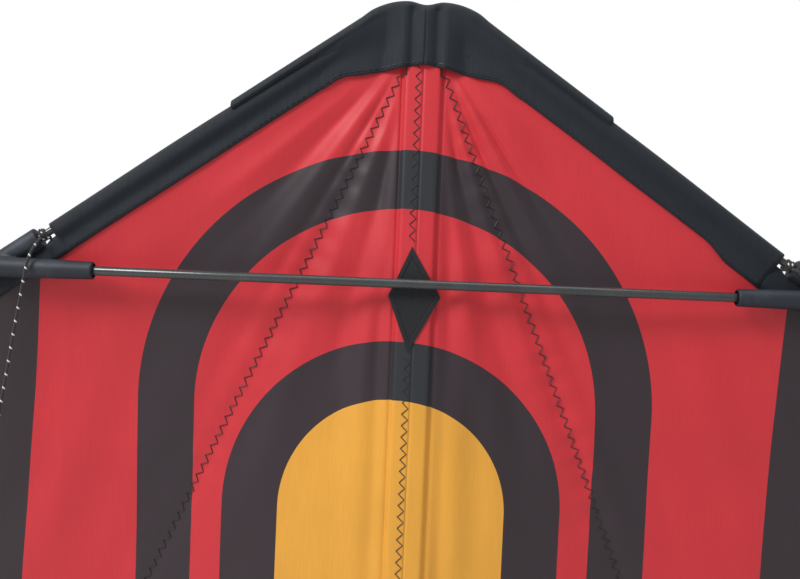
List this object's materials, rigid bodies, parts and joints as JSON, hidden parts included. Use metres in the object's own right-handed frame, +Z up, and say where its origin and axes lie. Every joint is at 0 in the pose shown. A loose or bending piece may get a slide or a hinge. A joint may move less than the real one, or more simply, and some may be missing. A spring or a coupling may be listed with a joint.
{
  "type": "delta kite",
  "caption": "Swept delta kite on a rod frame: sail halves in leading edge sleeves, straight spreaders across the front, moulded connectors and a cord bridle.",
  "frame": {"origin": "middle of the blunt nose, where the kite is hung", "axes": "+X to the right wing tip, +Y through the sail from the spreader side to the lee side, +Z up from tail to nose"},
  "size_m": [1.4128, 0.0755, 0.622],
  "materials": {
    "carbon": "satin pultruded carbon rod",
    "rubber": "matt moulded rubber",
    "tape": "matt woven edge tape",
    "sailcloth": "printed polyester with a soft satin sheen",
    "cord": "braided cord with a pale tracer"
  },
  "bodies": {
    "centre_line": {"spine_spar": "carbon", "spine_pocket_upper": "sailcloth", "spine_pocket_lower": "sailcloth", "nose_cover_centre": "tape", "spreader_patch": "tape", "spine_tail_cap": "rubber", "centre_tee": "rubber"},
    "left_wing": {"left_leading_edge_spar": "carbon", "left_upper_sleeve": "tape", "left_middle_sleeve": "tape", "left_lower_sleeve": "tape", "left_nose_cover": "tape", "left_tip_cap": "rubber", "left_upper_bridle_knot": "cord", "left_outer_bridle_knot": "cord", "left_inner_bridle_knot": "cord", "left_sail": "sailcloth", "left_upper_connector": "rubber", "left_lower_connector": "rubber", "left_lower_spreader": "carbon", "left_standoff_clip": "rubber", "left_standoff": "carbon", "left_standoff_cap": "rubber", "left_bridle_upper_leg": "cord", "left_bridle_outer_leg": "cord", "left_bridle_inner_leg": "cord", "left_tow_knot": "cord", "left_pigtail": "cord", "left_pigtail_knot": "cord", "upper_spreader": "carbon"},
    "right_wing": {"right_leading_edge_spar": "carbon", "right_upper_sleeve": "tape", "right_middle_sleeve": "tape", "right_lower_sleeve": "tape", "right_nose_cover": "tape", "right_tip_cap": "rubber", "right_upper_bridle_knot": "cord", "right_outer_bridle_knot": "cord", "right_inner_bridle_knot": "cord", "right_sail": "sailcloth", "right_upper_connector": "rubber", "right_lower_connector": "rubber", "right_lower_spreader": "carbon", "right_standoff_clip": "rubber", "right_standoff": "carbon", "right_standoff_cap": "rubber", "right_bridle_upper_leg": "cord", "right_bridle_outer_leg": "cord", "right_bridle_inner_leg": "cord", "right_tow_knot": "cord", "right_pigtail": "cord", "right_pigtail_knot": "cord"}
  },
  "joints": [
    {"name": "left_wing_fold", "type": "hinge", "parent": "centre_line", "child": "left_wing", "pos_m": [-0.0115, 0, -0.3], "axis": [0, 0, -1], "range_deg": [0, 70]},
    {"name": "right_wing_fold", "type": "hinge", "parent": "centre_line", "child": "right_wing", "pos_m": [0.0115, 0, -0.3], "axis": [0, 0, 1], "range_deg": [0, 70]}
  ]
}
